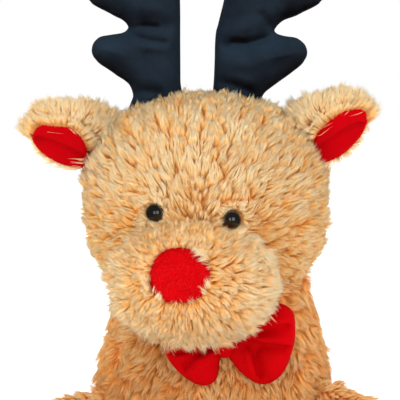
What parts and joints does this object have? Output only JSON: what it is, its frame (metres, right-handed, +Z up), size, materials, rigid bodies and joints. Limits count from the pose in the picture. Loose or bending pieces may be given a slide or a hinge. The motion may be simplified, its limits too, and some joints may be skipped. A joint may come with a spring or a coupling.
{
  "type": "plush toy deer",
  "caption": "Sitting stuffed reindeer toy in long tan plush with velour antlers, lined ears, a round nose, safety eyes, a bow tie and hinged limbs.",
  "frame": {"origin": "middle of the flat seat under the body, at the surface the toy sits on", "axes": "+Z up, the face looks along -Y, +X is the viewer's right"},
  "size_m": [0.2582, 0.2314, 0.3355],
  "materials": {
    "tan_plush": "long-pile tan plush, about 10 mm pile in soft clumps, paler at the tips",
    "navy_velour": "short-napped dark navy velour, matte with a faint sheen",
    "red_velour": "smooth short-napped bright red velour",
    "eye_plastic": "glossy black moulded safety eye",
    "washer_plastic": "white moulded lock washer",
    "polyester_filling": "white polyester fibre filling",
    "pellet_bag_cloth": "plain woven inner bag full of plastic pellets"
  },
  "bodies": {
    "torso": {"head_cover": "tan_plush", "body_cover": "tan_plush", "muzzle": "tan_plush", "left_ear": "tan_plush", "right_ear": "tan_plush", "tail": "tan_plush", "left_antler": "navy_velour", "right_antler": "navy_velour", "nose_patch": "red_velour", "left_ear_lining": "red_velour", "right_ear_lining": "red_velour", "bow_left_loop": "red_velour", "bow_right_loop": "red_velour", "bow_knot": "red_velour", "left_eye": "eye_plastic", "right_eye": "eye_plastic", "left_eye_washer": "washer_plastic", "right_eye_washer": "washer_plastic", "head_filling": "polyester_filling", "body_filling": "polyester_filling", "pellet_bag": "pellet_bag_cloth"},
    "left_arm": {"left_arm": "tan_plush", "left_arm_hoof": "navy_velour"},
    "right_arm": {"right_arm": "tan_plush", "right_arm_hoof": "navy_velour"},
    "left_leg": {"left_leg": "tan_plush", "left_leg_hoof": "navy_velour"},
    "right_leg": {"right_leg": "tan_plush", "right_leg_hoof": "navy_velour"}
  },
  "joints": [
    {"name": "left_arm_hinge", "type": "hinge", "parent": "torso", "child": "left_arm", "pos_m": [-0.07387, -0.02385, 0.058], "axis": [-0.4067, 0.9135, 0], "range_deg": [0, 75]},
    {"name": "right_arm_hinge", "type": "hinge", "parent": "torso", "child": "right_arm", "pos_m": [0.07346, -0.02372, 0.063], "axis": [-0.4067, -0.9135, 0], "range_deg": [0, 75]},
    {"name": "left_leg_hinge", "type": "hinge", "parent": "torso", "child": "left_leg", "pos_m": [-0.03919, -0.05836, 0.025], "axis": [-0.8988, 0.4384, 0], "range_deg": [0, 40]},
    {"name": "right_leg_hinge", "type": "hinge", "parent": "torso", "child": "right_leg", "pos_m": [0.03919, -0.05836, 0.025], "axis": [-0.8988, -0.4384, 0], "range_deg": [0, 40]}
  ]
}
